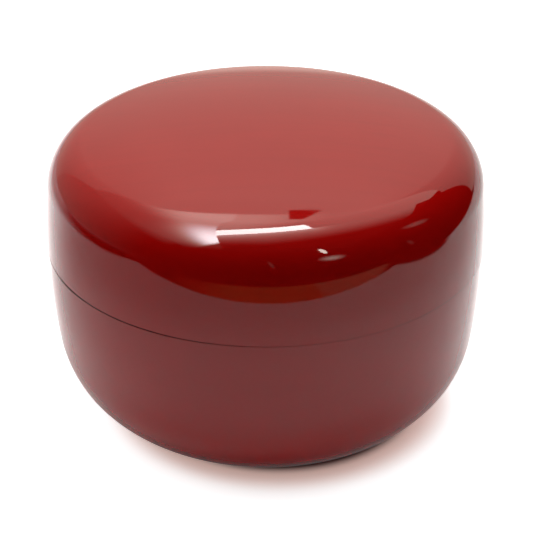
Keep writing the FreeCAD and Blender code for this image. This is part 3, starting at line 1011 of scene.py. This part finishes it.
def paintCeiling(shader, x, y, z):
    look = ceiling
    # the white roof, which dims towards the front, and the lamp with its halo
    front = y - x.larger(0.0) * look["roofSlant"] - look["roofFront"]
    roof = shader.fade(front, *look["roofFade"], 0.0, look["roofLevel"])
    roof = roof * (1.0 - shader.patch(x, y, look["wedge"], look["wedgeSoft"])) + look["roofLeast"]
    lamp = shader.patch(x, y, look["lamp"], look["lampSoft"])
    below = shader.away(x, y, look["lamp"][0], look["lamp"][1])
    beyondEnd = shader.away(x, y, look["lamp"][1], look["lamp"][2]).larger(0.0)
    offLamp = (below * below + beyondEnd * beyondEnd * look["haloEnd"]) ** 0.5
    halo = math.e ** (offLamp * -look["haloFall"]) * look["haloLevel"]
    halo = halo * shader.fade(below, *look["haloEdge"])
    edge = shader.away(x, y, *look["sheetEdge"])
    spill = shader.fade(edge, *look["spill"]) * shader.fade(y, *look["spillPlace"])
    outside = (roof + halo + spill) * (1.0 - lamp) + lamp * look["lampLevel"]
    # left of its edge the thin sheet glows where the lamp is near
    off = (edge * -1.0 - shader.fade(y, *look["sheetShift"])).larger(0.0)
    bright = shader.fade(y, *look["sheetBright"], look["sheetLevels"][0], sum(look["sheetLevels"]))
    glow = bright / (1.0 + (off / look["sheetReach"]) ** look["sheetFall"])
    glow = glow * shader.beside(x, y, *look["sheetFoot"], look["footSoft"])
    glow = glow * shader.fade(y, *look["sheetFront"]) + shader.fade(y, *look["sheetBase"])
    bare = shader.fade(edge, -look["edgeSoft"], look["edgeSoft"])
    level = outside * bare + glow * (1.0 - bare)
    # behind a slight curve the back sheet's top comes forward
    step = y - x * x * look["backCurve"]
    inFront = shader.fade(step, look["backStep"] + look["backSoft"], look["backStep"] - look["backSoft"])
    back = look["backLevel"] - (x - look["backCentre"]) * (x - look["backCentre"]) * look["backFall"]
    level = level * inFront + back * (1.0 - inFront)
    level = level * (1.0 - shader.patch(x, y, look["clamp"], look["clampSoft"]) * look["clampShade"])
    tint = shader.mix(shader.fade(level, *look["coolFrom"]), warm, cool)
    return shader.mix(lamp * bare * inFront, tint, look["lampTint"]), level


# a soft round card and a few narrow lights, in front and at the right, about a metre away
frontCards = {
    "softCard": {
        "place": (0.505, -0.770, 0.420), "size": (0.24, 0.21), "along": (1, 0, 0),
        "level": 3.3, "solid": 0.0,
    },
    "brightTube": {
        "place": (0.396, -0.633, 0.654), "size": (0.226, 0.048), "along": (0.094, -0.131, -0.184),
        "level": 14.0, "solid": 0.70,
    },
    "doorStrip": {
        "place": (0.042, -0.915, 0.351), "size": (0.38, 0.045), "along": (0.065, -0.133, -0.354),
        "level": 0.35, "solid": 0.20,
    },
    "sideStrip": {
        "place": (0.839, -0.022, 0.530), "size": (0.32, 0.165), "along": (0.094, 0.169, -0.142),
        "level": 0.80, "solid": 0.25,
    },
    "lowStrip": {
        "place": (0.943, -0.262, 0.158), "size": (0.26, 0.060), "along": (0.052, 0.032, -0.255),
        "level": 0.24, "solid": 0.30,
    },
}


def hangCard(name, card):
    # bright in the middle and soft towards its edge, along and across
    place, long = Vector(card["place"]), Vector(card["along"]).normalized()
    wide = place.normalized().cross(long)

    def paint(shader, x, y, z):
        stretch = []
        for way, reach in ((long, card["size"][0] / 2), (wide, card["size"][1] / 2)):
            far = (x - place.x) * way.x + (y - place.y) * way.y + (z - place.z) * way.z
            stretch.append(far * far / reach ** 2)
        off = (stretch[0] + stretch[1]) ** 0.5
        return warm, shader.fade(off, 1.0, card["solid"], 0.0, card["level"])

    hangSheet(name, card["place"], card["size"], -place, long, paint)


makeFloor()
hangSheet(
    "backSheet",
    ((backSheet["left"] + backSheet["right"]) / 2, backSheet["distance"], backSheet["height"] / 2),
    (backSheet["right"] - backSheet["left"], backSheet["height"]),
    (0, -1, 0), (1, 0, 0), paintBack,
)
hangSheet(
    "leftSheet",
    (leftSheet["distance"], (leftSheet["front"] + leftSheet["back"]) / 2, leftSheet["height"] / 2),
    (leftSheet["back"] - leftSheet["front"], leftSheet["height"]),
    (1, 0, 0), (0, 1, 0), paintLeft,
)
hangSheet(
    "ceilingSheet",
    (
        (ceiling["left"] + ceiling["right"]) / 2,
        (ceiling["front"] + ceiling["back"]) / 2,
        ceiling["height"],
    ),
    (ceiling["right"] - ceiling["left"], ceiling["back"] - ceiling["front"]),
    (0, 0, -1), (1, 0, 0), paintCeiling,
)
for name, card in frontCards.items():
    hangCard(name, card)

print("lighting")
# soft lamps over the caddy light its colour; only the floor, sheets and cards show in the gloss
lamps = {
    "over": {"place": (-0.05, 0.10, 0.90), "size": 0.8, "power": 5.6},
    "back": {"place": (0.00, 0.65, 0.75), "size": 0.6, "power": 2.2},
    "left": {"place": (-0.65, 0.10, 0.75), "size": 0.6, "power": 2.1},
    "right": {"place": (0.65, 0.10, 0.75), "size": 0.6, "power": 0.9},
}
lampAim = (0, 0, 0.03)
for name, lamp in lamps.items():
    deselectAll()
    turn = (Vector(lampAim) - Vector(lamp["place"])).to_track_quat("-Z", "Y").to_euler()
    bpy.ops.object.light_add(type="AREA", location=lamp["place"], rotation=turn)
    light = bpy.context.object
    light.name = name + "Lamp"
    light.data.shape = "DISK"
    light.data.size = lamp["size"]
    light.data.energy = lamp["power"]
    light.visible_glossy = False

# the room is white for the camera, dark in the gloss and dim for the rest
room = {"gloss": 0.003, "dim": 0.03}
world = bpy.data.worlds.new("room")
bpy.context.scene.world = world
shader = Shader(world)
camera = shader.node("ShaderNodeLightPath", output="Is Camera Ray")
glossy = shader.node("ShaderNodeLightPath", output="Is Glossy Ray")
strength = camera + (1.0 - camera) * (glossy * room["gloss"] + (1.0 - glossy) * room["dim"])
background = shader.node("ShaderNodeBackground", None, {"Color": colour(1, 1, 1), "Strength": strength})
shader.node("ShaderNodeOutputWorld", None, {"Surface": background})

bpy.context.scene.view_settings.view_transform = "Standard"
